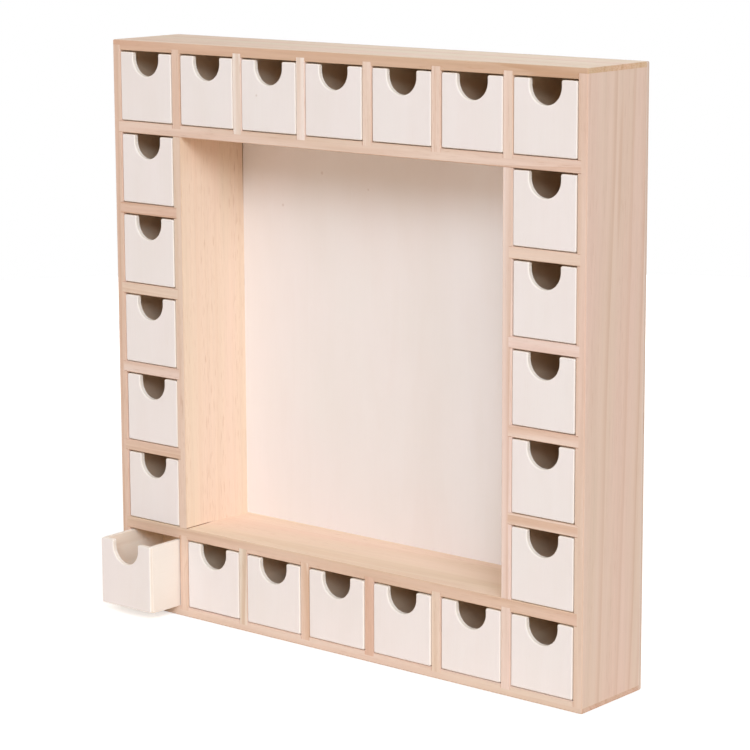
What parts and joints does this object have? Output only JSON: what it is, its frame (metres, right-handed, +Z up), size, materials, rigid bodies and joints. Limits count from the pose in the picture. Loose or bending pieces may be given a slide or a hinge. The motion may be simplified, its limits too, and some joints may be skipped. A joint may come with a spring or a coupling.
{
  "type": "advent calendar",
  "caption": "Square wooden frame that stands upright, with small notched drawers all round an open recess with a plain back, for counting down days with little gifts.",
  "frame": {"origin": "middle of the bottom board's underside, at half of the frame's depth over its back panel", "axes": "+Z up, +Y from the drawer fronts to the back panel, +X to the right as seen from the front"},
  "size_m": [0.4, 0.094, 0.4],
  "materials": {
    "frame_wood": "sanded, unfinished",
    "panel_plywood": "sanded, unfinished",
    "drawer_plywood": "sanded, unfinished"
  },
  "bodies": {
    "carcass": {"top_board": "frame_wood", "bottom_board": "frame_wood", "left_side_board": "frame_wood", "right_side_board": "frame_wood", "upper_rail": "frame_wood", "lower_rail": "frame_wood", "left_inner_upright": "frame_wood", "right_inner_upright": "frame_wood", "top_divider_1": "frame_wood", "top_divider_2": "frame_wood", "top_divider_3": "frame_wood", "top_divider_4": "frame_wood", "top_divider_5": "frame_wood", "top_divider_6": "frame_wood", "bottom_divider_1": "frame_wood", "bottom_divider_2": "frame_wood", "bottom_divider_3": "frame_wood", "bottom_divider_4": "frame_wood", "bottom_divider_5": "frame_wood", "bottom_divider_6": "frame_wood", "left_shelf_1": "frame_wood", "left_shelf_2": "frame_wood", "left_shelf_3": "frame_wood", "left_shelf_4": "frame_wood", "right_shelf_1": "frame_wood", "right_shelf_2": "frame_wood", "right_shelf_3": "frame_wood", "right_shelf_4": "frame_wood", "back_panel": "panel_plywood"},
    "top_drawer_1": {"top_drawer_1": "drawer_plywood"},
    "top_drawer_2": {"top_drawer_2": "drawer_plywood"},
    "top_drawer_3": {"top_drawer_3": "drawer_plywood"},
    "top_drawer_4": {"top_drawer_4": "drawer_plywood"},
    "top_drawer_5": {"top_drawer_5": "drawer_plywood"},
    "top_drawer_6": {"top_drawer_6": "drawer_plywood"},
    "top_drawer_7": {"top_drawer_7": "drawer_plywood"},
    "left_drawer_1": {"left_drawer_1": "drawer_plywood"},
    "left_drawer_2": {"left_drawer_2": "drawer_plywood"},
    "left_drawer_3": {"left_drawer_3": "drawer_plywood"},
    "left_drawer_4": {"left_drawer_4": "drawer_plywood"},
    "left_drawer_5": {"left_drawer_5": "drawer_plywood"},
    "right_drawer_1": {"right_drawer_1": "drawer_plywood"},
    "right_drawer_2": {"right_drawer_2": "drawer_plywood"},
    "right_drawer_3": {"right_drawer_3": "drawer_plywood"},
    "right_drawer_4": {"right_drawer_4": "drawer_plywood"},
    "right_drawer_5": {"right_drawer_5": "drawer_plywood"},
    "bottom_drawer_1": {"bottom_drawer_1": "drawer_plywood"},
    "bottom_drawer_2": {"bottom_drawer_2": "drawer_plywood"},
    "bottom_drawer_3": {"bottom_drawer_3": "drawer_plywood"},
    "bottom_drawer_4": {"bottom_drawer_4": "drawer_plywood"},
    "bottom_drawer_5": {"bottom_drawer_5": "drawer_plywood"},
    "bottom_drawer_6": {"bottom_drawer_6": "drawer_plywood"},
    "bottom_drawer_7": {"bottom_drawer_7": "drawer_plywood"}
  },
  "joints": [
    {"name": "top_drawer_1_slide", "type": "slide", "parent": "carcass", "child": "top_drawer_1", "axis": [0, -1, 0], "range_m": [0, 0.065]},
    {"name": "top_drawer_2_slide", "type": "slide", "parent": "carcass", "child": "top_drawer_2", "axis": [0, -1, 0], "range_m": [0, 0.065]},
    {"name": "top_drawer_3_slide", "type": "slide", "parent": "carcass", "child": "top_drawer_3", "axis": [0, -1, 0], "range_m": [0, 0.065]},
    {"name": "top_drawer_4_slide", "type": "slide", "parent": "carcass", "child": "top_drawer_4", "axis": [0, -1, 0], "range_m": [0, 0.065]},
    {"name": "top_drawer_5_slide", "type": "slide", "parent": "carcass", "child": "top_drawer_5", "axis": [0, -1, 0], "range_m": [0, 0.065]},
    {"name": "top_drawer_6_slide", "type": "slide", "parent": "carcass", "child": "top_drawer_6", "axis": [0, -1, 0], "range_m": [0, 0.065]},
    {"name": "top_drawer_7_slide", "type": "slide", "parent": "carcass", "child": "top_drawer_7", "axis": [0, -1, 0], "range_m": [0, 0.065]},
    {"name": "left_drawer_1_slide", "type": "slide", "parent": "carcass", "child": "left_drawer_1", "axis": [0, -1, 0], "range_m": [0, 0.065]},
    {"name": "left_drawer_2_slide", "type": "slide", "parent": "carcass", "child": "left_drawer_2", "axis": [0, -1, 0], "range_m": [0, 0.065]},
    {"name": "left_drawer_3_slide", "type": "slide", "parent": "carcass", "child": "left_drawer_3", "axis": [0, -1, 0], "range_m": [0, 0.065]},
    {"name": "left_drawer_4_slide", "type": "slide", "parent": "carcass", "child": "left_drawer_4", "axis": [0, -1, 0], "range_m": [0, 0.065]},
    {"name": "left_drawer_5_slide", "type": "slide", "parent": "carcass", "child": "left_drawer_5", "axis": [0, -1, 0], "range_m": [0, 0.065]},
    {"name": "right_drawer_1_slide", "type": "slide", "parent": "carcass", "child": "right_drawer_1", "axis": [0, -1, 0], "range_m": [0, 0.065]},
    {"name": "right_drawer_2_slide", "type": "slide", "parent": "carcass", "child": "right_drawer_2", "axis": [0, -1, 0], "range_m": [0, 0.065]},
    {"name": "right_drawer_3_slide", "type": "slide", "parent": "carcass", "child": "right_drawer_3", "axis": [0, -1, 0], "range_m": [0, 0.065]},
    {"name": "right_drawer_4_slide", "type": "slide", "parent": "carcass", "child": "right_drawer_4", "axis": [0, -1, 0], "range_m": [0, 0.065]},
    {"name": "right_drawer_5_slide", "type": "slide", "parent": "carcass", "child": "right_drawer_5", "axis": [0, -1, 0], "range_m": [0, 0.065]},
    {"name": "bottom_drawer_1_slide", "type": "slide", "parent": "carcass", "child": "bottom_drawer_1", "axis": [0, -1, 0], "range_m": [-0.029, 0.036]},
    {"name": "bottom_drawer_2_slide", "type": "slide", "parent": "carcass", "child": "bottom_drawer_2", "axis": [0, -1, 0], "range_m": [0, 0.065]},
    {"name": "bottom_drawer_3_slide", "type": "slide", "parent": "carcass", "child": "bottom_drawer_3", "axis": [0, -1, 0], "range_m": [-0.0008, 0.0642]},
    {"name": "bottom_drawer_4_slide", "type": "slide", "parent": "carcass", "child": "bottom_drawer_4", "axis": [0, -1, 0], "range_m": [-0.0008, 0.0642]},
    {"name": "bottom_drawer_5_slide", "type": "slide", "parent": "carcass", "child": "bottom_drawer_5", "axis": [0, -1, 0], "range_m": [-0.0008, 0.0642]},
    {"name": "bottom_drawer_6_slide", "type": "slide", "parent": "carcass", "child": "bottom_drawer_6", "axis": [0, -1, 0], "range_m": [0, 0.065]},
    {"name": "bottom_drawer_7_slide", "type": "slide", "parent": "carcass", "child": "bottom_drawer_7", "axis": [0, -1, 0], "range_m": [0, 0.065]}
  ]
}
